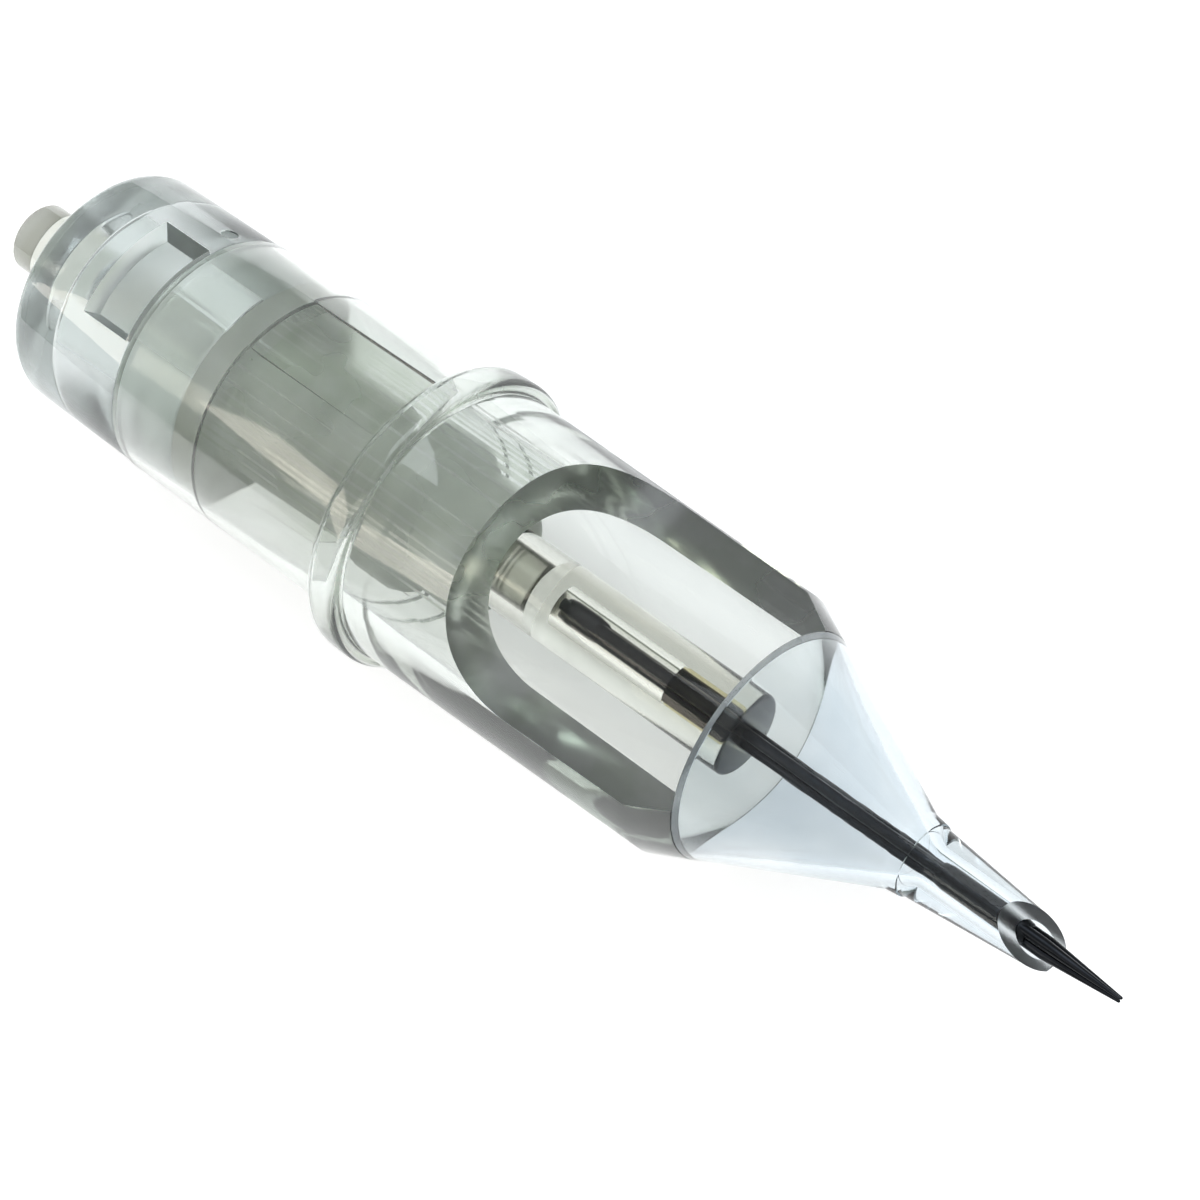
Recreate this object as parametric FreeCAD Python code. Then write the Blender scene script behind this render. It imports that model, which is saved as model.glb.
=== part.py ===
# Membrane needle cartridge for a tattoo or permanent make-up pen, clear plastic.
# The axis is X: +X is the needle tip, x = 0 is the rear face of the flange, and the
# ink window opens towards +Z. Millimetres.
import FreeCAD, Part
import math
import os

# Driving dimensions: housing, rear to front
sleeve_radius = 4.30
sleeve_length = 10.0
sleeve_wall = 0.55
seat_depth = 3.60
seat_ledge = 0.275
flange_height = 0.39
flange_thickness = 1.17
flange_edge = 0.25
barrel_step = 0.45
barrel_draft = 0.22
barrel_length = 11.73
rail_nose_length = 1.27
cone_slope = 0.4675

# Ink window and the key recesses of the sleeve
window_half_gap = 1.82
window_start = 8.20
window_runout = 3.40
recess_depth = 0.08
recess_length = 5.50
recess_bevel = 0.80
recess_angle = 38.0

# Nose cone and tip tube
cone_length = 5.66
lip_length = 0.50
lip_taper = 0.07
lip_step = 0.06
tube_length = 4.73
tube_wall = 0.25
scoop_length = 1.66
scoop_lip = 0.15

# Rear cap
cap_step = 0.05
cap_length = 5.20
cap_edge = 0.50
cap_wall = 1.35
cap_end_wall = 1.30
spigot_length = 2.60
pocket_depth = 0.80
pocket_rear = 2.95
pocket_front = 0.20
pocket_half_angle = 27.7

# Membrane
rim_thickness = 1.00
membrane_wall = 0.50
membrane_radius = 2.25
fold_height = 0.50
fold_length = 1.60
boss_radius = 2.12
boss_length = 2.48
boss_front = 3.40

# Plunger: stem, needle holder, needles
stem_radius = 1.24
stem_reach = 3.60
stem_edge = 0.20
neck_radius = 0.85
neck_grip = 1.90
holder_radius = 1.335
holder_length = 10.55
holder_edge = 0.12
holder_web = 0.75
resin_length = 3.05
resin_recess = 0.10
needle_diameter = 0.35
needle_gap = 0.01
needle_reach = 2.37
needle_point_length = 2.63
needle_point_radius = 0.045
point_gap = 0.02
solder_cover = 0.012
rear_solder_length = 1.60
front_solder_length = 3.20
front_solder_offset = 0.60

# Clearances, radial unless named otherwise
running_clearance = 0.06
seat_clearance = 0.03
membrane_clearance = 0.02
socket_clearance = 0.02
bore_clearance = 0.047
tip_clearance = 0.067
resin_clearance = 0.005
solder_clearance = 0.0025
end_clearance = 0.10

# Stations along the axis
sleeve_rear = -sleeve_length
seat_shoulder = sleeve_rear + seat_depth
flange_front = flange_thickness
barrel_front = flange_front + barrel_length
cone_rear = barrel_front + rail_nose_length
cone_front = cone_rear + cone_length
lip_front = cone_front + lip_length
tube_end = lip_front + tube_length
cap_rear = sleeve_rear - cap_length
spigot_front = sleeve_rear + spigot_length
boss_rear = boss_front - boss_length
stem_rear = cap_rear - stem_reach
neck_front = boss_front + neck_grip
needle_bore_rear = neck_front + end_clearance + holder_web
holder_front = boss_front + holder_length
needle_rear = needle_bore_rear + end_clearance
needle_tip = tube_end + needle_reach
point_rear = needle_tip - needle_point_length

# Radii that follow from the values above
seat_bore_radius = sleeve_radius - sleeve_wall
bore_radius = seat_bore_radius - seat_ledge
barrel_rear_radius = sleeve_radius + barrel_step
barrel_front_radius = barrel_rear_radius - barrel_draft
flange_radius = barrel_rear_radius + flange_height
cap_radius = sleeve_radius - cap_step
needle_radius = needle_diameter / 2
bundle_offset = (needle_diameter + needle_gap) / math.sqrt(3)
bundle_radius = bundle_offset + needle_radius
point_offset = (2 * needle_point_radius + point_gap) / math.sqrt(3)
holder_bore = bundle_radius + bore_clearance
solder_radius = bundle_radius + solder_cover
tip_bore_radius = bundle_radius + tip_clearance
tube_end_radius = tip_bore_radius + tube_wall
cone_rear_radius = barrel_front_radius - cone_slope * rail_nose_length
cone_front_radius = cone_rear_radius - cone_slope * cone_length
lip_front_radius = cone_front_radius - lip_taper
tube_rear_radius = lip_front_radius - lip_step
bore_cone_end = cone_rear + (bore_radius - tip_bore_radius) / cone_slope
fold_radius = membrane_radius + fold_height
fold_rear = boss_rear - fold_length

origin = FreeCAD.Vector(0, 0, 0)
x_axis = FreeCAD.Vector(1, 0, 0)
y_axis = FreeCAD.Vector(0, 1, 0)
beyond = 1.0    # how far a cutting tool reaches past the surface that it cuts


def rounded_edges(corners):
    """Edges of a closed outline in the XZ plane; each corner is (x, z) or (x, z, rounding)."""
    points = [FreeCAD.Vector(corner[0], 0, corner[1]) for corner in corners]
    starts = []
    ends = []
    edges = []
    for index, corner in enumerate(corners):
        here = points[index]
        rounding = corner[2] if len(corner) > 2 else 0
        if rounding == 0:
            starts.append(here)
            ends.append(here)
            continue
        back = (points[index - 1] - here).normalize()
        ahead = (points[(index + 1) % len(points)] - here).normalize()
        half_angle = back.getAngle(ahead) / 2
        setback = rounding / math.tan(half_angle)
        middle = here + (back + ahead).normalize() * (rounding / math.sin(half_angle) - rounding)
        starts.append(here + back * setback)
        ends.append(here + ahead * setback)
        edges.append(Part.Arc(starts[-1], middle, ends[-1]).toShape())
    for index in range(len(points)):
        start = ends[index - 1]
        end = starts[index]
        if start.distanceToPoint(end) > 1e-6:
            edges.append(Part.LineSegment(start, end).toShape())
    return Part.__sortEdges__(edges)


def lathe(corners):
    """Solid of revolution about the X axis from an (x, radius) outline."""
    return Part.Face(Part.Wire(rounded_edges(corners))).revolve(origin, x_axis, 360)


def tube(rear, front, outer, inner=0.0):
    """Plain cylinder or pipe along X."""
    solid = Part.makeCylinder(outer, front - rear, FreeCAD.Vector(rear, 0, 0), x_axis)
    if inner:
        solid = solid.cut(Part.makeCylinder(inner, front - rear, FreeCAD.Vector(rear, 0, 0), x_axis))
    return solid


def prism(corners, half_width):
    """Outline in the XZ plane, extruded both ways along Y."""
    face = Part.Face(Part.Wire(rounded_edges(corners)))
    face.translate(FreeCAD.Vector(0, -half_width, 0))
    return face.extrude(y_axis * (2 * half_width))


def sector(corners, first_angle, last_angle):
    """Outline turned about X from one angle to another, in degrees from +Z towards +Y."""
    face = Part.Face(Part.Wire(rounded_edges(corners)))
    face.rotate(origin, x_axis, -first_angle)
    return face.revolve(origin, x_axis, first_angle - last_angle)


def turned(solid, angle):
    """Copy of a solid, turned about the X axis."""
    copy = solid.copy()
    copy.rotate(origin, x_axis, angle)
    return copy


def opposite_pair(solid):
    """A tool and its copy on the other side of the axis."""
    return [solid, turned(solid, 180)]


def window_cutter():
    """Flat floor that runs out of the barrel wall along an arc at its rear end."""
    top = flange_radius + window_runout
    rear = window_start - window_runout
    front = cone_rear + beyond
    floor = window_half_gap
    corners = [(rear, top), (rear, floor, window_runout), (front, floor), (front, top)]
    return prism(corners, flange_radius)


def recess_cutter():
    """Shallow key recess of the sleeve, with a long bevel at its rear end."""
    floor = sleeve_radius - recess_depth
    top = sleeve_radius + beyond
    bevel_run = recess_bevel * (top - floor) / recess_depth
    corners = [(0, floor), (-recess_length, floor), (-recess_length - bevel_run, top), (0, top)]
    return sector(corners, 0, recess_angle)


def barrel_housing():
    """Sleeve, flange and windowed barrel, one moulding."""
    body = lathe([
        (sleeve_rear, sleeve_radius),
        (0, sleeve_radius),
        (0, flange_radius, flange_edge),
        (flange_front, flange_radius, flange_edge),
        (flange_front, barrel_rear_radius),
        (barrel_front, barrel_front_radius),
        (cone_rear, cone_rear_radius),
        (cone_rear, bore_radius),
        (seat_shoulder, bore_radius),
        (seat_shoulder, seat_bore_radius),
        (sleeve_rear, seat_bore_radius)])
    for tool in [window_cutter()] + opposite_pair(recess_cutter()):
        body = body.cut(tool)
    return body


def nose_cone():
    """Thin cone, lip and tip tube, with the end of the tube cut to an open scoop."""
    body = lathe([
        (cone_rear, cone_rear_radius),
        (cone_front, cone_front_radius),
        (lip_front, lip_front_radius),
        (lip_front, tube_rear_radius),
        (tube_end, tube_end_radius),
        (tube_end, tip_bore_radius),
        (bore_cone_end, tip_bore_radius),
        (cone_rear, bore_radius)])
    scoop_rear = tube_end - scoop_length
    taper = (tube_rear_radius - tube_end_radius) / tube_length
    scoop_top = tube_end_radius + taper * scoop_length
    lip = -tube_end_radius + scoop_lip
    scoop = prism([
        (scoop_rear, scoop_top),
        (tube_end, lip),
        (tube_end + beyond, lip),
        (tube_end + beyond, scoop_top + beyond),
        (scoop_rear, scoop_top + beyond)], tube_rear_radius + beyond)
    return body.cut(scoop)


def rear_cap():
    """End cap with the stem's guide hole, two bayonet pockets and the spigot that holds the membrane."""
    inside = cap_radius - cap_wall
    guide = stem_radius + running_clearance
    spigot = seat_bore_radius - seat_clearance
    end_wall_front = cap_rear + cap_end_wall
    body = lathe([
        (cap_rear, guide),
        (cap_rear, cap_radius, cap_edge),
        (sleeve_rear, cap_radius),
        (sleeve_rear, spigot),
        (spigot_front, spigot),
        (spigot_front, inside),
        (end_wall_front, inside),
        (end_wall_front, guide)])
    floor = cap_radius - pocket_depth
    top = cap_radius + beyond
    rear = cap_rear + pocket_rear
    front = sleeve_rear - pocket_front
    pocket = sector([(rear, floor), (rear, top), (front, top), (front, floor)],
                    -pocket_half_angle, pocket_half_angle)
    for tool in opposite_pair(pocket):
        body = body.cut(tool)
    return body


def membrane():
    """Silicone seal: a clamped rim, a thin sleeve with one fold, and a boss around the stem's neck."""
    rim_rear = spigot_front
    rim_front = rim_rear + rim_thickness
    rim_radius = seat_bore_radius - seat_clearance
    inner = membrane_radius - membrane_wall
    hole = neck_radius + membrane_clearance
    fold_inner = fold_radius - membrane_wall
    return lathe([
        (rim_rear, inner),
        (rim_rear, rim_radius),
        (rim_front, rim_radius),
        (rim_front, membrane_radius, membrane_wall),
        (fold_rear, membrane_radius, membrane_wall / 2),
        (fold_rear, fold_radius, membrane_wall),
        (boss_rear, fold_radius, membrane_wall),
        (boss_rear + membrane_wall, boss_radius, membrane_wall / 2),
        (boss_front - membrane_clearance, boss_radius, membrane_wall),
        (boss_front - membrane_clearance, hole),
        (boss_rear + membrane_clearance, hole),
        (boss_rear + membrane_clearance, stem_radius + membrane_clearance),
        (boss_rear - membrane_wall / 2, fold_inner, membrane_wall / 4),
        (fold_rear + membrane_wall, fold_inner, membrane_wall / 4),
        (fold_rear + membrane_wall, inner, membrane_wall / 4)])


def plunger_stem():
    """Round bar: the pen's rod pushes on its rear face, the neck carries membrane and holder."""
    return lathe([
        (stem_rear, 0),
        (stem_rear, stem_radius, stem_edge),
        (boss_rear, stem_radius),
        (boss_rear, neck_radius),
        (neck_front, neck_radius),
        (neck_front, 0)])


def needle_holder():
    """Clear rod with a socket for the stem's neck and a long bore for the needles."""
    socket = neck_radius + socket_clearance
    socket_front = neck_front + end_clearance
    return lathe([
        (boss_front, socket),
        (boss_front, holder_radius, holder_edge),
        (holder_front, holder_radius, holder_edge),
        (holder_front, holder_bore),
        (needle_bore_rear, holder_bore),
        (needle_bore_rear, 0),
        (socket_front, 0),
        (socket_front, socket)])


def needle_axis_shift(angle, offset):
    """Place of one wire of the bundle, off the common axis."""
    turn = math.radians(angle)
    return FreeCAD.Vector(0, offset * math.sin(turn), offset * math.cos(turn))


def needle(angle):
    """One wire: straight shank, then a point that leans in to the common axis."""
    shank_rear = FreeCAD.Vector(needle_rear, 0, 0) + needle_axis_shift(angle, bundle_offset)
    shank_front = FreeCAD.Vector(point_rear, 0, 0) + needle_axis_shift(angle, bundle_offset)
    point_end = FreeCAD.Vector(needle_tip, 0, 0) + needle_axis_shift(angle, point_offset)
    shank = Part.makeCylinder(needle_radius, point_rear - needle_rear, shank_rear, x_axis)
    root = Part.Wire(Part.makeCircle(needle_radius, shank_front, x_axis))
    end = Part.Wire(Part.makeCircle(needle_point_radius, point_end, x_axis))
    point = Part.makeLoft([root, end], True, True)
    return shank.fuse(point).removeSplitter()


def around_needles(rear, front, radius, clearance):
    """Pipe around the bundle, with a groove for each wire; nothing runs in between the wires."""
    body = tube(rear, front, radius, bundle_offset)
    for angle in needle_angles:
        place = FreeCAD.Vector(rear, 0, 0) + needle_axis_shift(angle, bundle_offset)
        body = body.cut(Part.makeCylinder(needle_radius + clearance, front - rear, place, x_axis))
    return body


def resin_plug():
    """Adhesive that fills the front of the holder's bore around the needles."""
    front = holder_front - resin_recess
    return around_needles(front - resin_length, front, holder_bore - resin_clearance, resin_clearance)


def rear_solder():
    """Solder that ties the wires together near their rear ends."""
    rear = needle_rear + end_clearance
    return around_needles(rear, rear + rear_solder_length, solder_radius, solder_clearance)


def front_solder():
    """Solder that ties the wires together just behind their points."""
    front = point_rear - front_solder_offset
    return around_needles(front - front_solder_length, front, solder_radius, solder_clearance)


needle_angles = [0, 120, 240]
nodes = {
    "barrel_housing": barrel_housing(),
    "nose_cone": nose_cone(),
    "rear_cap": rear_cap(),
    "membrane": membrane(),
    "plunger_stem": plunger_stem(),
    "needle_holder": needle_holder(),
    "resin_plug": resin_plug(),
    "rear_solder": rear_solder(),
    "front_solder": front_solder()}
for number, angle in enumerate(needle_angles, start=1):
    nodes[f"needle_{number}"] = needle(angle)

os.makedirs("parts", exist_ok=True)
for name, shape in nodes.items():
    box = shape.BoundBox
    print(f"{name}: {len(shape.Solids)} solid, {shape.Volume:.3f} mm3, valid {shape.isValid()}, "
          f"x {box.XMin:.2f}..{box.XMax:.2f}, y {box.YMin:.2f}..{box.YMax:.2f}, z {box.ZMin:.2f}..{box.ZMax:.2f}")
    shape.exportStep(f"parts/{name}.step")
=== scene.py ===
import math
import bpy
import bmesh
from mathutils import Matrix, Vector


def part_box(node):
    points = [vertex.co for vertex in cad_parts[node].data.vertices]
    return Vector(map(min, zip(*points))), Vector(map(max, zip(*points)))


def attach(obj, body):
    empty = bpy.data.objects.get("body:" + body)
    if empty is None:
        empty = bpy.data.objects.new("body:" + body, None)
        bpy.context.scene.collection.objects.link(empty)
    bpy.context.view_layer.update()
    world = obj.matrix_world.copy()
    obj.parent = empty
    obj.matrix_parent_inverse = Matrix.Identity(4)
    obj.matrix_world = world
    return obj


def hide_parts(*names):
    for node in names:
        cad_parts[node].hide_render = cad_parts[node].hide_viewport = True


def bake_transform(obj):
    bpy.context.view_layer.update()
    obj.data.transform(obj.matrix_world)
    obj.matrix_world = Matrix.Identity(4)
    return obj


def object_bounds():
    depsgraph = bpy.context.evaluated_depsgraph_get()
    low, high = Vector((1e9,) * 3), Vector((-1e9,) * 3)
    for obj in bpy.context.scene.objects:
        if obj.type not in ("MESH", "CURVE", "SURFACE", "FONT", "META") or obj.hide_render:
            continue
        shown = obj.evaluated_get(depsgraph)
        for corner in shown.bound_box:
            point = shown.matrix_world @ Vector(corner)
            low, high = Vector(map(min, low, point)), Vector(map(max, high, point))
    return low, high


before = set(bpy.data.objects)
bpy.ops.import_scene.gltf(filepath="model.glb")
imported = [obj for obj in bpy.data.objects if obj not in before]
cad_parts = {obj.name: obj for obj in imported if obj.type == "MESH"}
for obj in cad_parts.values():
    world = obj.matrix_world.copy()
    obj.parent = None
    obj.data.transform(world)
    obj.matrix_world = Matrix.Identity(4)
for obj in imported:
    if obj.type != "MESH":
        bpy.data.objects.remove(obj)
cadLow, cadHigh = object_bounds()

# Sizes are in millimetres, as in the CAD model, and each piece is scaled to metres when its mesh is done.
# The axis is X, with the needle tip towards +X and the ink window towards +Z.
metresPerMm = 0.001
turnSteps = 256      # facets round the barrel and the cap
innerSteps = 96      # facets round the membrane, the stem and the holder
smallSteps = 64      # facets round the bore, the resin and the solder
sweepSteps = 24      # facets across a pocket or a recess
overrun = 1.0        # how far a cutting tool stands past the piece
seamGap = 1e-5       # closes the seam and the poles of a turned shape
sliverSize = 1e-4    # edges shorter than this are dissolved
mergeGap = 2e-4      # vertices nearer than this are one
ringSlack = 1e-3     # a vertex this near a ring is on it
nearSurface = 0.02   # a face this near a surface belongs to it
faceSlack = 0.01     # how far past a limit the middle of a face may lie
endNormal = 0.9      # an end face points along the axis at least this much
sideNormal = 0.05    # and a side face at most this much


def mmSpan(node):
    low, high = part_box(node)
    return low.x / metresPerMm, high.x / metresPerMm


def radiusAt(point):
    return math.hypot(point.y, point.z)


def rollAbout(bm, angle):
    # turns a shape about the axis, in degrees from +Z towards +Y
    bmesh.ops.rotate(bm, verts=bm.verts, cent=(0, 0, 0), matrix=Matrix.Rotation(-math.radians(angle), 3, "X"))


def turned(outline, closed=True, steps=turnSteps):
    # (x, radius) points turned about the axis
    bm = bmesh.new()
    corners = [bm.verts.new((x, 0, radius)) for x, radius in outline]
    ends = corners[1:] + corners[:1] if closed else corners[1:]
    edges = [bm.edges.new(pair) for pair in zip(corners, ends)]
    bmesh.ops.spin(bm, geom=corners + edges, cent=(0, 0, 0), axis=(1, 0, 0),
                   angle=2 * math.pi, steps=steps, use_merge=True, use_duplicate=False)
    bmesh.ops.remove_doubles(bm, verts=bm.verts, dist=seamGap)
    bmesh.ops.recalc_face_normals(bm, faces=bm.faces)
    return bm


def roundRing(bm, x, radius, size, segments=4):
    # rounds the sharp ring at one station and radius
    def onRing(vert):
        return abs(vert.co.x - x) < ringSlack and abs(radiusAt(vert.co) - radius) < ringSlack
    ring = [edge for edge in bm.edges if onRing(edge.verts[0]) and onRing(edge.verts[1])]
    bmesh.ops.bevel(bm, geom=ring, offset=size, offset_type="OFFSET", affect="EDGES",
                    segments=segments, profile=0.5, material=-1)


def sectorTool(outline, firstAngle, lastAngle):
    # a closed outline swept from one angle to another, in degrees from +Z towards +Y
    bm = bmesh.new()
    corners = [bm.verts.new((x, 0, radius)) for x, radius in outline]
    face = bm.faces.new(corners)
    rollAbout(bm, firstAngle)
    bmesh.ops.spin(bm, geom=[face, *face.edges, *face.verts], cent=(0, 0, 0), axis=(1, 0, 0),
                   angle=-math.radians(lastAngle - firstAngle), steps=sweepSteps,
                   use_merge=False, use_duplicate=False)
    bmesh.ops.remove_doubles(bm, verts=bm.verts, dist=seamGap)
    bmesh.ops.recalc_face_normals(bm, faces=bm.faces)
    return bm


def makeObject(name, bm):
    mesh = bpy.data.meshes.new(name)
    bm.to_mesh(mesh)
    bm.free()
    piece = bpy.data.objects.new(name, mesh)
    bpy.context.scene.collection.objects.link(piece)
    return piece


def cutAway(piece, bm):
    # takes a tool's shape out of a piece, and throws the tool away
    tool = makeObject("tool", bm)
    modifier = piece.modifiers.new("cut", "BOOLEAN")
    modifier.operation = "DIFFERENCE"
    modifier.solver = "EXACT"
    modifier.object = tool
    bpy.context.view_layer.update()
    depsgraph = bpy.context.evaluated_depsgraph_get()
    result = bpy.data.meshes.new_from_object(piece.evaluated_get(depsgraph))
    piece.modifiers.clear()
    oldMesh = piece.data
    piece.data = result
    bpy.data.meshes.remove(oldMesh)
    bpy.data.objects.remove(tool)


def easeEdges(piece, isEased, size):
    bm = bmesh.new()
    bm.from_mesh(piece.data)
    bmesh.ops.remove_doubles(bm, verts=bm.verts, dist=mergeGap)
    edges = [edge for edge in bm.edges if isEased(edge)]
    bmesh.ops.bevel(bm, geom=edges, offset=size, offset_type="OFFSET", affect="EDGES",
                    segments=2, profile=0.5, material=-1)
    bm.to_mesh(piece.data)
    bm.free()


def halfTurn(bm):
    # the same tool on the other side of the axis
    copy = bm.copy()
    rollAbout(copy, 180)
    return copy


def finishPiece(piece, material, sharpAngle=30, satin=()):
    # satin pairs a test on a face with the roughness that it adds there and the share of painted shade that
    # it lays there
    bm = bmesh.new()
    bm.from_mesh(piece.data)
    bmesh.ops.remove_doubles(bm, verts=bm.verts, dist=mergeGap)
    bmesh.ops.dissolve_degenerate(bm, edges=bm.edges, dist=sliverSize)
    layer = bm.faces.layers.float.new("satin")
    for face in bm.faces:
        face.smooth = True
        centre = face.calc_center_median()
        for isSatin, amount in satin:
            if isSatin(face, centre):
                face[layer] = amount
    bmesh.ops.scale(bm, verts=bm.verts, vec=(metresPerMm, metresPerMm, metresPerMm))
    bm.to_mesh(piece.data)
    bm.free()
    piece.data.set_sharp_from_angle(angle=math.radians(sharpAngle))
    piece.data.materials.clear()
    piece.data.materials.append(material)
    return piece


def newMaterial(name):
    material = bpy.data.materials.new(name)
    material.use_nodes = True
    tree = material.node_tree
    return material, tree, tree.nodes["Principled BSDF"]


def noiseNode(tree, scale, detail=3.0, stretch=(1, 1, 1)):
    place = tree.nodes.new("ShaderNodeTexCoord")
    mapping = tree.nodes.new("ShaderNodeMapping")
    mapping.inputs["Scale"].default_value = stretch
    noise = tree.nodes.new("ShaderNodeTexNoise")
    noise.inputs["Scale"].default_value = scale
    noise.inputs["Detail"].default_value = detail
    tree.links.new(place.outputs["Object"], mapping.inputs["Vector"])
    tree.links.new(mapping.outputs["Vector"], noise.inputs["Vector"])
    return noise


def rampNode(tree, source, stops):
    ramp = tree.nodes.new("ShaderNodeValToRGB")
    ramp.color_ramp.elements[0].position, ramp.color_ramp.elements[0].color = stops[0]
    ramp.color_ramp.elements[1].position, ramp.color_ramp.elements[1].color = stops[-1]
    for position, colour in stops[1:-1]:
        ramp.color_ramp.elements.new(position).color = colour
    tree.links.new(source, ramp.inputs["Fac"])
    return ramp


def grey(value):
    return (value, value, value, 1)


def opaque(colour):
    return (*colour, 1)


def bumpNode(tree, source, strength, distance):
    bump = tree.nodes.new("ShaderNodeBump")
    bump.inputs["Strength"].default_value = strength
    bump.inputs["Distance"].default_value = distance
    tree.links.new(source, bump.inputs["Height"])
    return bump


def shadeNode(tree, noise, positions, colours):
    # one colour at each of the noise heights given, blended between them
    return rampNode(tree, noise.outputs["Fac"], list(zip(positions, colours)))


def mathNode(tree, operation, first, second):
    node = tree.nodes.new("ShaderNodeMath")
    node.operation = operation
    tree.links.new(first, node.inputs[0])
    if isinstance(second, float):
        node.inputs[1].default_value = second
    else:
        tree.links.new(second, node.inputs[1])
    return node


# what every clear plastic starts from; a material's own values replace these
plastic = {
    # the satin tint is painted shade, the darker colour laid on satin faces
    "tint": (0.945, 0.965, 0.955), "shade": (0.955, 0.955, 0.955), "satinTint": (0.64, 0.72, 0.58),
    "clear": 0.95, "ior": 1.5, "glint": 1.0, "haze": (0.0, 0.05), "ripple": 0.12,
    "depth": (0.40, 0.49, 0.38), "density": 88,
}
# noise scales are per metre
moulding = {
    "patchScale": 260, "patchHeights": (0.35, 0.65), "smearScale": 380, "smearHeights": (0.35, 0.75),
    # the cloud values mottle the painted shade on satin faces, and the satin gain sets how strongly it is
    # laid
    "smearStretch": (0.6, 1, 1), "cloudScale": 480, "cloudHeights": (0.44, 0.58), "cloudPaler": 0.5,
    "paintedShadeGain": 2.5, "textureHeights": (0.3, 0.7), "textureRange": (0.75, 1.2),
    "flowScale": 330, "flowStretch": (0.5, 1, 1), "flowDepth": 0.00012, "smoothDetail": 2.0,
}


def clearPlastic(name, **own):
    look = {**plastic, **own}
    material, tree, shader = newMaterial(name)
    shader.inputs["Transmission Weight"].default_value = look["clear"]
    shader.inputs["IOR"].default_value = look["ior"]
    shader.inputs["Specular Tint"].default_value = grey(look["glint"])
    patches = noiseNode(tree, moulding["patchScale"])
    tint = look["tint"]
    darker = [channel * share for channel, share in zip(tint, look["shade"])]
    colour = shadeNode(tree, patches, moulding["patchHeights"], [opaque(darker), opaque(tint)])
    # satin faces take a darker, mottled tint of their own: painted shade, which darkens cut faces, recesses,
    # bores and ends
    satin = tree.nodes.new("ShaderNodeAttribute")
    satin.attribute_name = "satin"
    strength = mathNode(tree, "MULTIPLY", satin.outputs["Fac"], moulding["paintedShadeGain"])
    strength.use_clamp = True
    share = moulding["cloudPaler"]
    paler = [share + (1 - share) * channel for channel in look["satinTint"]]
    cloud = noiseNode(tree, moulding["cloudScale"])
    mottledShade = shadeNode(tree, cloud, moulding["cloudHeights"], [opaque(look["satinTint"]), opaque(paler)])
    withPaintedShade = tree.nodes.new("ShaderNodeMix")
    withPaintedShade.data_type = "RGBA"
    tree.links.new(strength.outputs["Value"], withPaintedShade.inputs["Factor"])
    tree.links.new(colour.outputs["Color"], withPaintedShade.inputs["A"])
    tree.links.new(mottledShade.outputs["Color"], withPaintedShade.inputs["B"])
    tree.links.new(withPaintedShade.outputs["Result"], shader.inputs["Base Color"])
    # their moulded-in texture is patchy, so it is rougher in some places than in others
    smear = noiseNode(tree, moulding["smearScale"], moulding["smoothDetail"], moulding["smearStretch"])
    gloss = shadeNode(tree, smear, moulding["smearHeights"], [grey(haze) for haze in look["haze"]])
    patchy = shadeNode(tree, smear, moulding["textureHeights"],
                       [grey(most) for most in moulding["textureRange"]])
    texture = mathNode(tree, "MULTIPLY_ADD", satin.outputs["Fac"], patchy.outputs["Color"])
    tree.links.new(gloss.outputs["Color"], texture.inputs[2])
    tree.links.new(texture.outputs["Value"], shader.inputs["Roughness"])
    flow = noiseNode(tree, moulding["flowScale"], moulding["smoothDetail"], moulding["flowStretch"])
    bump = bumpNode(tree, flow.outputs["Fac"], look["ripple"], moulding["flowDepth"])
    tree.links.new(bump.outputs["Normal"], shader.inputs["Normal"])
    # thick plastic looks darker and takes more colour than a thin wall
    body = tree.nodes.new("ShaderNodeVolumeAbsorption")
    body.inputs["Color"].default_value = opaque(look["depth"])
    body.inputs["Density"].default_value = look["density"]
    tree.links.new(body.outputs["Volume"], tree.nodes["Material Output"].inputs["Volume"])
    return material


rubber = {
    "clear": 0.55, "ior": 1.41, "scale": 330, "heights": (0.35, 0.5, 0.65),
    "colours": ((0.50, 0.53, 0.46), (0.70, 0.73, 0.66), (0.84, 0.87, 0.82)),
    "glossHeights": (0.3, 0.7), "roughness": (0.38, 0.55),
    "grainScale": 2500, "grain": 0.2, "grainDepth": 0.00002,
}


def siliconeRubber():
    material, tree, shader = newMaterial("silicone")
    shader.inputs["Transmission Weight"].default_value = rubber["clear"]
    shader.inputs["IOR"].default_value = rubber["ior"]
    patches = noiseNode(tree, rubber["scale"])
    colour = shadeNode(tree, patches, rubber["heights"], [opaque(colour) for colour in rubber["colours"]])
    tree.links.new(colour.outputs["Color"], shader.inputs["Base Color"])
    gloss = shadeNode(tree, patches, rubber["glossHeights"], [grey(rough) for rough in rubber["roughness"]])
    tree.links.new(gloss.outputs["Color"], shader.inputs["Roughness"])
    grain = noiseNode(tree, rubber["grainScale"])
    bump = bumpNode(tree, grain.outputs["Fac"], rubber["grain"], rubber["grainDepth"])
    tree.links.new(bump.outputs["Normal"], shader.inputs["Normal"])
    return material


# fine lines along the wire, left by drawing it
steel = {
    "scale": 6000, "detail": 2.0, "stretch": (0.02, 1, 1), "heights": (0.3, 0.7),
    "roughSpread": 0.12, "scratch": 0.1, "scratchDepth": 0.000005,
}


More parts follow.
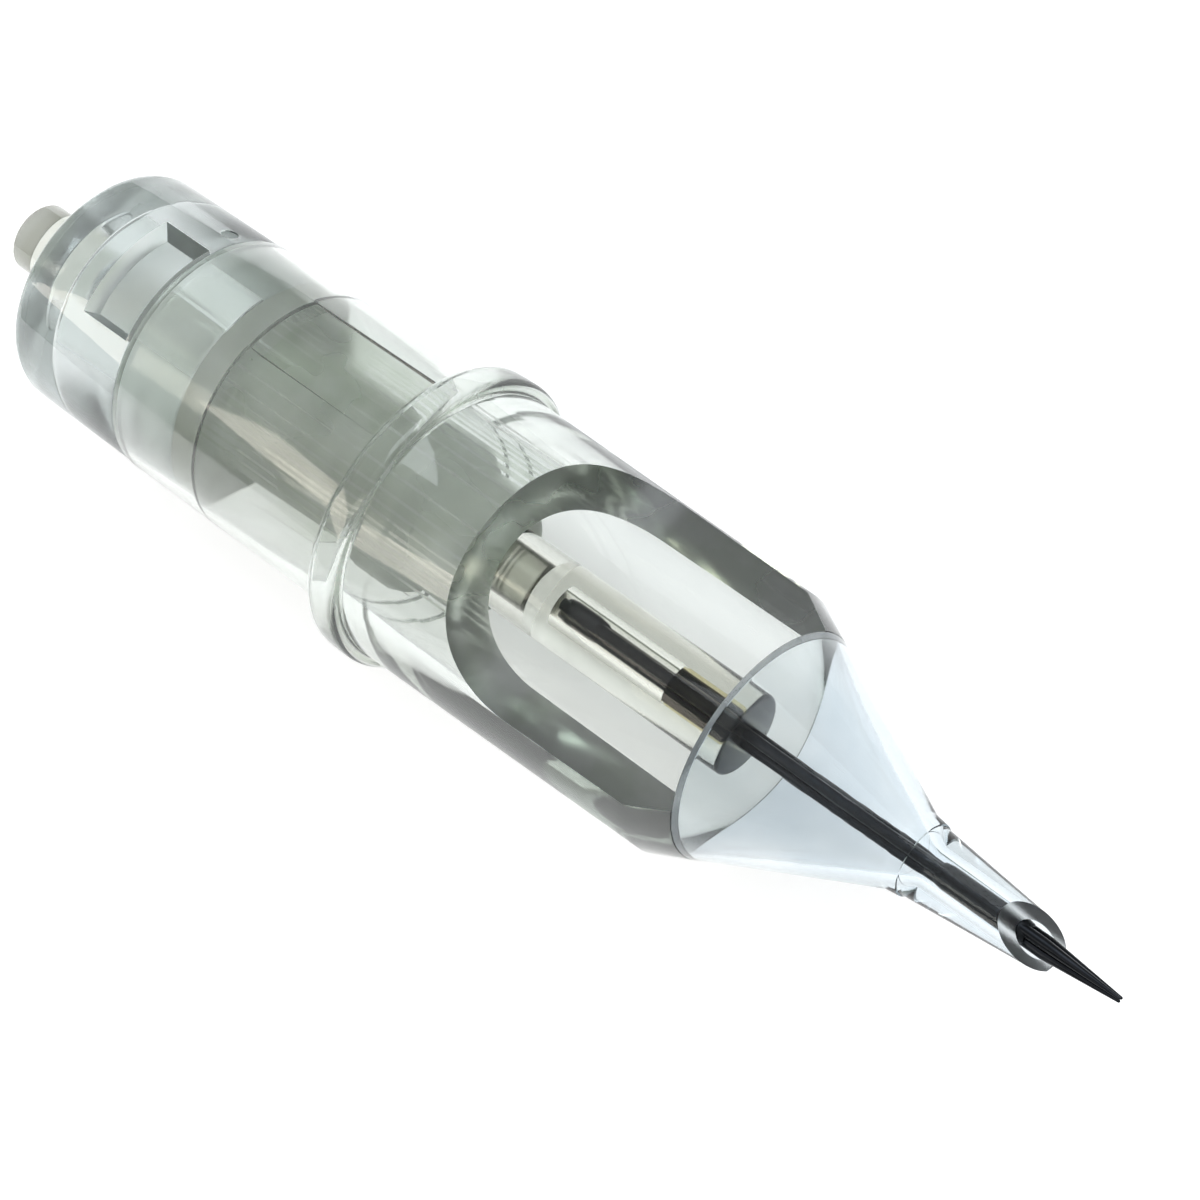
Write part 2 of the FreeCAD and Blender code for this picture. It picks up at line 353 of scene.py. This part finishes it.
def darkSteel(name, light, dark, rough):
    material, tree, shader = newMaterial(name)
    shader.inputs["Metallic"].default_value = 1.0
    drawLines = noiseNode(tree, steel["scale"], steel["detail"], steel["stretch"])
    colour = shadeNode(tree, drawLines, steel["heights"], [opaque(dark), opaque(light)])
    tree.links.new(colour.outputs["Color"], shader.inputs["Base Color"])
    gloss = shadeNode(tree, drawLines, steel["heights"], [grey(rough), grey(rough + steel["roughSpread"])])
    tree.links.new(gloss.outputs["Color"], shader.inputs["Roughness"])
    bump = bumpNode(tree, drawLines.outputs["Fac"], steel["scratch"], steel["scratchDepth"])
    tree.links.new(bump.outputs["Normal"], shader.inputs["Normal"])
    return material


# each plastic's satin tint is the painted shade colour for its satin faces
housingPlastic = clearPlastic("clear_housing")
# the cone and the holder glint less, so that the dark needle shows through them
conePlastic = clearPlastic(
    "clear_cone", tint=(0.955, 0.975, 0.985), shade=(0.85, 0.88, 0.90), satinTint=(0.88, 0.92, 0.93),
    clear=1.0, ripple=0.07, depth=(0.40, 0.52, 0.58), density=250, glint=0.35)
capPlastic = clearPlastic(
    "clear_cap", tint=(0.930, 0.955, 0.955), satinTint=(0.82, 0.88, 0.85), haze=(0.02, 0.08),
    depth=(0.40, 0.48, 0.46), density=130)
stemPlastic = clearPlastic(
    "clear_stem", tint=(0.930, 0.940, 0.905), satinTint=(0.50, 0.51, 0.38), clear=0.90, haze=(0.02, 0.10),
    depth=(0.40, 0.42, 0.30), density=170)
holderPlastic = clearPlastic(
    "clear_holder", tint=(0.960, 0.955, 0.920), satinTint=(0.90, 0.90, 0.84), clear=1.0, haze=(0.03, 0.10),
    depth=(0.46, 0.48, 0.38), density=130, glint=0.5)
# the resin and the holder round it bend light alike, so the surface between them bends none
resinPlastic = clearPlastic(
    "resin", tint=(0.90, 0.84, 0.62), clear=1.0, ior=1.001, ripple=0.0, depth=(0.9, 0.8, 0.4), density=300)
silicone = siliconeRubber()
needleSteel = darkSteel("needle_steel", (0.022, 0.024, 0.028), (0.006, 0.007, 0.008), 0.25)
solderTin = darkSteel("solder", (0.026, 0.028, 0.031), (0.008, 0.009, 0.010), 0.35)
print("materials ready")

# one clear moulding: the sleeve, the flange and the windowed barrel
barrel = {
    "sleeveRadius": 4.30, "seatRadius": 3.75, "seatDepth": 3.60, "boreRadius": 3.475,
    "flangeRadius": 5.14, "flangeThickness": 1.17, "flangeEdge": 0.25,
    "rearRadius": 4.75, "frontRadius": 4.53, "railNose": 1.27, "noseRadius": 3.936,
    "windowHalfGap": 1.82, "windowStart": 8.20, "windowRunout": 3.40,
    "recessDepth": 0.08, "recessLength": 5.5, "recessBevel": 0.8, "recessAngle": 38,
    "recessEdge": 0.06, "recessOverrun": 0.6,
    "weldGap": 0.01, "boreMargin": 0.1, "cornerEdge": 0.12, "rimEdge": 0.05, "cutSlack": 5e-3,
    # each satin amount sets both a face's roughness and how much painted shade it takes
    "sleeveSatinAndShade": 0.06, "insideSatinAndShade": 0.26, "seatSatinAndShade": 0.06, "windowSatinAndShade": 0.32,
}


def isSleeve(face, centre):
    return centre.x < 0


def isSleeveBore(face, centre):
    return centre.x < 0 and radiusAt(centre) < barrel["boreRadius"] + barrel["boreMargin"]


def isSeat(face, centre):
    # where the cap's spigot and the membrane's rim fill the sleeve
    bore = barrel["boreRadius"] + barrel["boreMargin"]
    return centre.x < 0 and bore < radiusAt(centre) < barrel["seatRadius"] + faceSlack


def isFlangeFront(face, centre):
    onFlange = radiusAt(centre) > barrel["rearRadius"] + 0.05
    onFront = abs(centre.x - barrel["flangeThickness"]) < nearSurface
    return onFlange and onFront and face.normal.x > endNormal


def isKeyRecess(face, centre):
    floor = barrel["sleeveRadius"] - barrel["recessDepth"]
    onFloor = abs(radiusAt(centre) - floor) < nearSurface
    return centre.x < 0 and onFloor and abs(face.normal.x) < sideNormal


def isRecessSide(edge):
    # the two long top edges of each key recess
    def onSide(vert):
        around = math.degrees(math.atan2(vert.co.y, vert.co.z)) % 180
        side = min(around, 180 - around, abs(around - barrel["recessAngle"]))
        return vert.co.x < 0.01 and side < 0.05 and abs(radiusAt(vert.co) - barrel["sleeveRadius"]) < 3e-3
    first, second = edge.verts
    return onSide(first) and onSide(second) and abs(first.co.x - second.co.x) > 1


def isWindowCut(face, centre):
    arcCentre = barrel["windowHalfGap"] + barrel["windowRunout"]

    def onCut(vert):
        if vert.co.x > barrel["windowStart"]:
            return abs(vert.co.z - barrel["windowHalfGap"]) < barrel["cutSlack"]
        reach = math.hypot(vert.co.x - barrel["windowStart"], vert.co.z - arcCentre)
        return abs(reach - barrel["windowRunout"]) < barrel["cutSlack"]
    return all(onCut(vert) for vert in face.verts)


def windowTool(rear, front):
    top = barrel["flangeRadius"] + barrel["windowRunout"]
    floor = barrel["windowHalfGap"]
    runout = barrel["windowRunout"]
    bm = bmesh.new()
    bmesh.ops.create_cube(bm, size=1)
    bmesh.ops.scale(bm, verts=bm.verts, vec=(front - rear + runout, 4 * runout, top - floor))
    bmesh.ops.translate(bm, verts=bm.verts, vec=((front + rear - runout) / 2, 0, (top + floor) / 2))
    corner = [edge for edge in bm.edges
              if all(vert.co.x < rear and vert.co.z < floor + 0.1 for vert in edge.verts)]
    bmesh.ops.bevel(bm, geom=corner, offset=runout, offset_type="OFFSET", affect="EDGES",
                    segments=40, profile=0.5, material=-1)
    return bm


def makeBarrel():
    rear, front = mmSpan("barrel_housing")
    front -= barrel["weldGap"]
    shoulder = rear + barrel["seatDepth"]
    flangeFront = barrel["flangeThickness"]
    railFront = front - barrel["railNose"]
    bm = turned([
        (rear, barrel["sleeveRadius"]), (0, barrel["sleeveRadius"]),
        (0, barrel["flangeRadius"]), (flangeFront, barrel["flangeRadius"]),
        (flangeFront, barrel["rearRadius"]), (railFront, barrel["frontRadius"]),
        (front, barrel["noseRadius"]), (front, barrel["boreRadius"]),
        (shoulder, barrel["boreRadius"]), (shoulder, barrel["seatRadius"]),
        (rear, barrel["seatRadius"])])
    roundRing(bm, 0, barrel["flangeRadius"], barrel["flangeEdge"])
    roundRing(bm, flangeFront, barrel["flangeRadius"], barrel["flangeEdge"])
    roundRing(bm, flangeFront, barrel["rearRadius"], barrel["cornerEdge"], 3)
    roundRing(bm, rear, barrel["sleeveRadius"], barrel["rimEdge"], 3)
    roundRing(bm, shoulder, barrel["boreRadius"], barrel["rimEdge"], 2)
    piece = makeObject("clear_barrel", bm)
    cutAway(piece, windowTool(barrel["windowStart"], front + overrun))
    floor = barrel["sleeveRadius"] - barrel["recessDepth"]
    top = barrel["sleeveRadius"] + barrel["recessOverrun"]
    bevelRun = barrel["recessBevel"] * (top - floor) / barrel["recessDepth"]
    length = barrel["recessLength"]
    recess = sectorTool([(0, floor), (-length, floor), (-length - bevelRun, top), (0, top)],
                        0, barrel["recessAngle"])
    cutAway(piece, halfTurn(recess))
    cutAway(piece, recess)
    easeEdges(piece, isRecessSide, barrel["recessEdge"])
    finishPiece(piece, housingPlastic, satin=[
        (isSleeve, barrel["sleeveSatinAndShade"]), (isSleeveBore, barrel["insideSatinAndShade"]),
        (isSeat, barrel["seatSatinAndShade"]), (isKeyRecess, barrel["insideSatinAndShade"]),
        (isFlangeFront, barrel["insideSatinAndShade"]), (isWindowCut, barrel["windowSatinAndShade"])])
    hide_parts("barrel_housing")
    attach(piece, "housing")


makeBarrel()
print("barrel ready")

# the nose cone with its tip tube
cone = {
    "rearRadius": 3.936, "rearBore": 3.475, "slope": 0.4675, "length": 5.66,
    "lipLength": 0.50, "lipTaper": 0.07, "lipStep": 0.06, "tubeRadius": 0.70, "tubeBore": 0.45,
    "scoopLength": 1.66, "scoopLip": 0.15, "scoopReach": 2.0,
    "rearEdge": 0.05, "frontEdge": 0.04, "lipEdge": 0.02, "boreEdge": 0.15, "steps": 144,
    # each satin amount sets both a face's roughness and how much painted shade it takes
    "rimSatinAndShade": 0.65, "scoopSatinAndShade": 0.55,
}


def isConeRim(face, centre):
    return face.normal.x < -endNormal


def isScoop(face, scoopRear):
    return face.normal.z > 0.5 and face.normal.x > 0.3 and face.calc_center_median().x > scoopRear


def makeCone():
    rear, front = mmSpan("nose_cone")
    coneFront = rear + cone["length"]
    lipFront = coneFront + cone["lipLength"]
    coneRadius = cone["rearRadius"] - cone["slope"] * cone["length"]
    lipRadius = coneRadius - cone["lipTaper"]
    tubeRadius = lipRadius - cone["lipStep"]
    boreEnd = rear + (cone["rearBore"] - cone["tubeBore"]) / cone["slope"]
    bm = turned([
        (rear, cone["rearRadius"]), (coneFront, coneRadius), (lipFront, lipRadius),
        (lipFront, tubeRadius), (front, cone["tubeRadius"]), (front, cone["tubeBore"]),
        (boreEnd, cone["tubeBore"]), (rear, cone["rearBore"])], steps=cone["steps"])
    roundRing(bm, rear, cone["rearRadius"], cone["rearEdge"], 3)
    roundRing(bm, rear, cone["rearBore"], cone["rearEdge"], 3)
    roundRing(bm, coneFront, coneRadius, cone["frontEdge"], 3)
    roundRing(bm, lipFront, lipRadius, cone["lipEdge"], 2)
    roundRing(bm, boreEnd, cone["tubeBore"], cone["boreEdge"], 3)
    piece = makeObject("clear_nose_cone", bm)
    scoopRear = front - cone["scoopLength"]
    taper = (tubeRadius - cone["tubeRadius"]) / (front - lipFront)
    scoopTop = cone["tubeRadius"] + taper * cone["scoopLength"]
    lip = cone["scoopLip"] - cone["tubeRadius"]
    past = front + overrun
    outside = scoopTop + overrun
    tool = bmesh.new()
    corners = [tool.verts.new((x, -cone["scoopReach"], z)) for x, z in [
        (scoopRear, scoopTop), (front, lip), (past, lip), (past, outside), (scoopRear, outside)]]
    side = bmesh.ops.extrude_face_region(tool, geom=[tool.faces.new(corners)])
    moved = [item for item in side["geom"] if isinstance(item, bmesh.types.BMVert)]
    bmesh.ops.translate(tool, verts=moved, vec=(0, 2 * cone["scoopReach"], 0))
    bmesh.ops.recalc_face_normals(tool, faces=tool.faces)
    cutAway(piece, tool)
    finishPiece(piece, conePlastic, satin=[
        (isConeRim, cone["rimSatinAndShade"]),
        (lambda face, centre: isScoop(face, scoopRear), cone["scoopSatinAndShade"])])
    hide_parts("nose_cone")
    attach(piece, "housing")


makeCone()
print("nose cone ready")

# the rear cap with its two bayonet pockets
cap = {
    "radius": 4.25, "edge": 0.50, "inside": 2.90, "guide": 1.30, "endWall": 1.30,
    "spigotRadius": 3.72, "spigotLength": 2.60, "pocketDepth": 0.80, "pocketRear": 2.95,
    "pocketFront": 0.20, "pocketHalfAngle": 27.7, "pocketWallAngle": 26, "weldGap": 0.02,
    "gateX": -10.65, "gateAngle": 45, "gateRadius": 0.30, "gateDepth": 0.06,
    "guideEdge": 0.12, "shoulderEdge": 0.05, "insideEdge": 0.3, "spigotEdge": 0.1,
    # each satin amount sets both a face's roughness and how much painted shade it takes
    "insideSatinAndShade": 0.14, "pocketSatinAndShade": 0.42,
}


def isPocket(face, centre):
    low = cap["radius"] - cap["pocketDepth"] - faceSlack
    around = abs(math.atan2(centre.y, abs(centre.z)))
    onWall = abs(face.normal.x) > endNormal or around > math.radians(cap["pocketWallAngle"])
    inDepth = low < radiusAt(centre) < cap["radius"] - 0.05
    nearFloor = abs(radiusAt(centre) - cap["radius"] + cap["pocketDepth"]) < 0.03
    isFloor = nearFloor and abs(face.normal.x) < 0.1
    return centre.x < 0 and (isFloor or (inDepth and onWall))


def gateTool():
    # the round scar where the cap was broken off its runner
    bm = bmesh.new()
    bmesh.ops.create_cone(bm, cap_ends=True, segments=32, radius1=cap["gateRadius"],
                          radius2=cap["gateRadius"], depth=2 * cap["gateDepth"])
    bmesh.ops.translate(bm, verts=bm.verts, vec=(0, 0, cap["radius"]))
    rollAbout(bm, cap["gateAngle"])
    bmesh.ops.translate(bm, verts=bm.verts, vec=(cap["gateX"], 0, 0))
    return bm


def makeCap():
    rear, spigotFront = mmSpan("rear_cap")
    shoulder = spigotFront - cap["spigotLength"]
    endWallFront = rear + cap["endWall"]
    bm = turned([
        (rear, cap["guide"]), (rear, cap["radius"]), (shoulder - cap["weldGap"], cap["radius"]),
        (shoulder - cap["weldGap"], cap["spigotRadius"]), (spigotFront, cap["spigotRadius"]),
        (spigotFront, cap["inside"]), (endWallFront, cap["inside"]), (endWallFront, cap["guide"])])
    roundRing(bm, rear, cap["radius"], cap["edge"], 8)
    roundRing(bm, rear, cap["guide"], cap["guideEdge"], 3)
    roundRing(bm, shoulder - cap["weldGap"], cap["radius"], cap["shoulderEdge"], 3)
    roundRing(bm, endWallFront, cap["inside"], cap["insideEdge"], 5)
    roundRing(bm, spigotFront, cap["spigotRadius"], cap["spigotEdge"], 3)
    piece = makeObject("clear_rear_cap", bm)
    pocketFloor = cap["radius"] - cap["pocketDepth"]
    outside = cap["radius"] + overrun
    pocketRear = rear + cap["pocketRear"]
    pocketFront = shoulder - cap["pocketFront"]
    tool = sectorTool([(pocketRear, pocketFloor), (pocketRear, outside),
                       (pocketFront, outside), (pocketFront, pocketFloor)],
                      -cap["pocketHalfAngle"], cap["pocketHalfAngle"])
    cutAway(piece, halfTurn(tool))
    cutAway(piece, tool)
    cutAway(piece, gateTool())
    finishPiece(piece, capPlastic, satin=[
        (lambda face, centre: radiusAt(centre) < cap["inside"] + faceSlack, cap["insideSatinAndShade"]),
        (isPocket, cap["pocketSatinAndShade"])])
    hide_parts("rear_cap")
    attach(piece, "housing")


makeCap()
print("cap ready")

# the soft seal that pulls the plunger back
seal = {
    "rimThickness": 1.0, "rimRadius": 3.72, "wall": 0.50, "radius": 2.25, "foldRadius": 2.75,
    "foldLength": 1.60, "bossLength": 2.48, "bossRadius": 2.12, "hole": 0.87, "stemHole": 1.26,
    "airGap": 0.01, "shoulderGap": 0.02, "creaseShare": 0.9, "noseShare": 1.4, "innerEdge": 0.1,
    "rings": 14, "sharpAngle": 50,
}


def makeMembrane():
    rear, front = mmSpan("membrane")
    rimFront = rear + seal["rimThickness"] - seal["airGap"]
    rear += seal["airGap"]
    bossRear = front + seal["shoulderGap"] - seal["bossLength"]
    seatX = bossRear + seal["shoulderGap"]
    foldRear = bossRear - seal["foldLength"]
    inner = seal["radius"] - seal["wall"]
    foldInner = seal["foldRadius"] - seal["wall"]
    half = seal["wall"] / 2
    bm = turned([
        (rear, inner), (rear, seal["rimRadius"]), (rimFront, seal["rimRadius"]),
        (rimFront, seal["radius"]), (foldRear, seal["radius"]), (foldRear, seal["foldRadius"]),
        (bossRear, seal["foldRadius"]), (bossRear + seal["wall"], seal["bossRadius"]),
        (front, seal["bossRadius"]), (front, seal["hole"]), (seatX, seal["hole"]),
        (seatX, seal["stemHole"]), (bossRear - half, foldInner),
        (foldRear + seal["wall"], foldInner), (foldRear + seal["wall"], inner)], steps=innerSteps)
    roundRing(bm, rimFront, seal["radius"], half, 5)
    roundRing(bm, foldRear, seal["radius"], half * seal["creaseShare"], 5)
    roundRing(bm, foldRear, seal["foldRadius"], half, 5)
    roundRing(bm, bossRear, seal["foldRadius"], half, 5)
    roundRing(bm, front, seal["bossRadius"], seal["wall"] * seal["noseShare"], 8)
    roundRing(bm, bossRear - half, foldInner, seal["innerEdge"], 3)
    # rings cut across it along its length
    rings = seal["rings"]
    for station in [rimFront + step * (front - rimFront) / rings for step in range(1, rings)]:
        bmesh.ops.bisect_plane(bm, geom=[*bm.verts, *bm.edges, *bm.faces],
                               plane_co=(station, 0, 0), plane_no=(1, 0, 0))
    piece = makeObject("silicone_membrane", bm)
    finishPiece(piece, silicone, seal["sharpAngle"])
    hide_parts("membrane")
    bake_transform(piece)


makeMembrane()
print("membrane ready")

# the push stem, the clear holder on its neck, and the resin in the holder's bore
stem = {
    "radius": 1.24, "edge": 0.09, "neckRadius": 0.85, "neckLength": 4.38, "shoulderEdge": 0.06,
    # each satin amount sets both a face's roughness and how much painted shade it takes; the end's paints a
    # dark olive band
    "neckEdge": 0.1, "neckSatinAndShade": 0.04, "endSatinAndShade": 0.6,
}
holder = {
    "radius": 1.335, "edge": 0.12, "socket": 0.87, "socketLength": 2.0, "web": 0.75, "bore": 0.43,
    # each satin amount sets both a face's roughness and how much painted shade it takes
    "socketReach": 0.9, "socketSatinAndShade": 0.06, "endSatinAndShade": 0.12,
}
resin = {"length": 3.15, "rearGap": 0.02, "sideGap": 0.01, "edge": 0.1}


def makeStem():
    rear, front = mmSpan("plunger_stem")
    neckRear = front - stem["neckLength"]
    bm = turned([(rear, 0), (rear, stem["radius"]), (neckRear, stem["radius"]),
                 (neckRear, stem["neckRadius"]), (front, stem["neckRadius"]), (front, 0)],
                closed=False, steps=innerSteps)
    roundRing(bm, rear, stem["radius"], stem["edge"], 5)
    roundRing(bm, neckRear, stem["radius"], stem["shoulderEdge"], 2)
    roundRing(bm, front, stem["neckRadius"], stem["neckEdge"], 3)
    piece = finishPiece(makeObject("clear_stem", bm), stemPlastic, satin=[
        (lambda face, centre: centre.x > neckRear - faceSlack, stem["neckSatinAndShade"]),
        (lambda face, centre: centre.x < rear + faceSlack, stem["endSatinAndShade"])])
    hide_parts("plunger_stem")
    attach(piece, "plunger")


def makeHolder():
    def isSocket(face, centre):
        return centre.x < socketFront + faceSlack and radiusAt(centre) < holder["socketReach"]

    def isEnd(face, centre):
        return abs(face.normal.x) > endNormal

    rear, front = mmSpan("needle_holder")
    socketFront = rear + holder["socketLength"]
    boreRear = socketFront + holder["web"]
    resinRear = front - resin["length"]
    bm = turned([(rear, holder["socket"]), (rear, holder["radius"]), (front, holder["radius"]), (front, 0),
                 (socketFront, 0), (socketFront, holder["socket"])], steps=innerSteps)
    roundRing(bm, rear, holder["radius"], holder["edge"])
    roundRing(bm, front, holder["radius"], holder["edge"])
    piece = makeObject("clear_needle_holder", bm)
    # the bore is air up to the resin, which wets the plastic and leaves no surface between them
    radius = holder["bore"]
    cutAway(piece, turned([(boreRear, 0), (boreRear, radius), (resinRear, radius), (resinRear, 0)],
                          closed=False, steps=smallSteps))
    finishPiece(piece, holderPlastic, satin=[
        (isSocket, holder["socketSatinAndShade"]), (isEnd, holder["endSatinAndShade"])])
    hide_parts("needle_holder")
    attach(piece, "plunger")


def makeResin():
    rear, front = mmSpan("resin_plug")
    rear += resin["rearGap"]
    radius = holder["bore"] - resin["sideGap"]
    bm = turned([(rear, 0), (rear, radius), (front, radius), (front, 0)], closed=False, steps=smallSteps)
    roundRing(bm, rear, radius, resin["edge"])
    piece = finishPiece(makeObject("adhesive_plug", bm), resinPlastic)
    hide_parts("resin_plug")
    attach(piece, "plunger")


makeStem()
makeHolder()
makeResin()
print("stem, holder and resin ready")

# three wires and the two solder ties that hold them
needle = {
    "count": 3, "radius": 0.175, "offset": 0.208, "pointLength": 2.63, "pointOffset": 0.0635,
    "pointRadius": 0.045, "rearEdge": 0.03, "steps": 40, "sharpAngle": 40,
}
# the rings of the tip's small ball: how far behind the point and how wide, in radii of the ball
tipRings = ((1.0, 1.02), (0.4, 0.85), (0.08, 0.4))
solder = {"radius": 0.395, "taper": 0.35, "endShare": 0.86, "edge": 0.08, "sharpAngle": 40}


def makeNeedle(number):
    node = f"needle_{number}"
    rear, front = mmSpan(node)
    length = needle["pointLength"]
    pointRear = front - length
    slope = (needle["radius"] - needle["pointRadius"]) / length
    tipBall = needle["pointRadius"]
    outline = [(rear, 0), (rear, needle["radius"]), (pointRear, needle["radius"])]
    for share in (0.25, 0.5, 0.75):
        outline.append((pointRear + share * length, needle["radius"] - slope * share * length))
    for behind, wide in tipRings:
        outline.append((front - tipBall * behind, tipBall * wide))
    outline.append((front, 0))
    bm = turned(outline, closed=False, steps=needle["steps"])
    roundRing(bm, rear, needle["radius"], needle["rearEdge"], 3)
    # the wires lie side by side, and lean together towards their points
    for vert in bm.verts:
        share = min(1, max(0, (vert.co.x - pointRear) / length))
        vert.co.z += needle["offset"] + share * (needle["pointOffset"] - needle["offset"])
    rollAbout(bm, (number - 1) * 360 / needle["count"])
    piece = finishPiece(makeObject(f"steel_{node}", bm), needleSteel, needle["sharpAngle"])
    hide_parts(node)
    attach(piece, "plunger")


def makeSolder(node):
    rear, front = mmSpan(node)
    radius = solder["radius"]
    taper = solder["taper"]
    endRadius = radius * solder["endShare"]
    bm = turned([(rear, 0), (rear, endRadius), (rear + taper, radius), (front - taper, radius),
                 (front, endRadius), (front, 0)], closed=False, steps=smallSteps)
    roundRing(bm, rear, endRadius, solder["edge"])
    roundRing(bm, front, endRadius, solder["edge"])
    piece = finishPiece(makeObject(f"tin_{node}", bm), solderTin, solder["sharpAngle"])
    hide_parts(node)
    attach(piece, "plunger")


for number in range(1, needle["count"] + 1):
    makeNeedle(number)
makeSolder("rear_solder")
makeSolder("front_solder")
print("needles ready")

# sizes here are in metres, angles in degrees
studio = {
    "floorSize": 12.0, "floorCloudScale": 30, "floorHeights": (0.3, 0.7), "floorShades": (0.60, 0.61),
    "floorRoughness": 0.9, "floorGlow": 0.62,
    "lens": 105, "clipStart": 0.005, "lookAlong": 29, "roll": 35, "tilt": 12.8, "distance": 0.1057,
    "aimAlong": 0.0069, "aimAcross": -0.00079,
}
# from straight down to straight up, the same all round
sky = {
    "strength": 0.6, "heights": (0.0, 0.16, 0.45, 1.0),
    "colours": ((0.36, 0.41, 0.34), (0.46, 0.50, 0.45), (0.95, 0.97, 1.0), (1.55, 1.58, 1.62)),
}


def makeFloor():
    bm = bmesh.new()
    bmesh.ops.create_grid(bm, x_segments=1, y_segments=1, size=studio["floorSize"] / 2)
    bmesh.ops.translate(bm, verts=bm.verts, vec=(0, 0, cadLow.z))
    floor = makeObject("floor", bm)
    material, tree, shader = newMaterial("white_table")
    cloud = noiseNode(tree, studio["floorCloudScale"])
    tone = shadeNode(tree, cloud, studio["floorHeights"], [grey(shade) for shade in studio["floorShades"]])
    tree.links.new(tone.outputs["Color"], shader.inputs["Base Color"])
    shader.inputs["Roughness"].default_value = studio["floorRoughness"]
    shader.inputs["Specular IOR Level"].default_value = 0.0
    shader.inputs["Emission Color"].default_value = (1, 1, 1, 1)
    shader.inputs["Emission Strength"].default_value = studio["floorGlow"]
    floor.data.materials.append(material)


def makeWorld():
    world = bpy.data.worlds.new("studio")
    bpy.context.scene.world = world
    world.use_nodes = True
    tree = world.node_tree
    place = tree.nodes.new("ShaderNodeTexCoord")
    split = tree.nodes.new("ShaderNodeSeparateXYZ")
    tree.links.new(place.outputs["Generated"], split.inputs["Vector"])
    colours = [opaque(colour) for colour in sky["colours"]]
    dome = rampNode(tree, split.outputs["Z"], list(zip(sky["heights"], colours)))
    tree.links.new(dome.outputs["Color"], tree.nodes["Background"].inputs["Color"])
    tree.nodes["Background"].inputs["Strength"].default_value = sky["strength"]


def makeSoftbox(name, place, size, power, colour):
    lamp = bpy.data.lights.new(name, "AREA")
    lamp.shape = "RECTANGLE"
    lamp.size, lamp.size_y = size
    lamp.energy = power
    lamp.color = colour
    light = bpy.data.objects.new(name, lamp)
    bpy.context.scene.collection.objects.link(light)
    light.location = place
    light.rotation_euler = (-Vector(place)).to_track_quat("-Z", "Y").to_euler()


def makeCamera():
    theta = math.radians(studio["lookAlong"])
    psi = math.radians(studio["roll"])
    phi = math.radians(studio["tilt"])
    axis = Vector((1, 0, 0))
    near = Vector((0, -math.sin(phi), math.cos(phi)))
    across = Vector((0, -math.cos(phi), -math.sin(phi)))
    back = math.sin(theta) * axis + math.cos(theta) * near
    along = math.cos(theta) * axis - math.sin(theta) * near
    right = math.cos(psi) * along - math.sin(psi) * across
    up = -(math.sin(psi) * along + math.cos(psi) * across)
    target = studio["aimAlong"] * axis + studio["aimAcross"] * across
    data = bpy.data.cameras.new("camera")
    data.lens = studio["lens"]
    data.clip_start = studio["clipStart"]
    camera = bpy.data.objects.new("camera", data)
    bpy.context.scene.collection.objects.link(camera)
    turn = Matrix((right, up, back)).transposed().to_4x4()
    camera.matrix_world = Matrix.Translation(target + studio["distance"] * back) @ turn
    bpy.context.scene.camera = camera


makeFloor()
makeWorld()
makeSoftbox("overhead_softbox", place=(0.02, 0.10, 0.35), size=(0.30, 0.20), power=0.65,
            colour=(0.90, 0.96, 1.0))
makeSoftbox("side_softbox", place=(-0.15, -0.25, 0.20), size=(0.25, 0.10), power=0.35,
            colour=(1.0, 0.92, 0.80))
makeCamera()
scene = bpy.context.scene
scene.view_settings.view_transform = "Standard"
scene.cycles.transmission_bounces = 32
scene.cycles.max_bounces = 40
scene.cycles.transparent_max_bounces = 16
print("floor, light and camera ready")
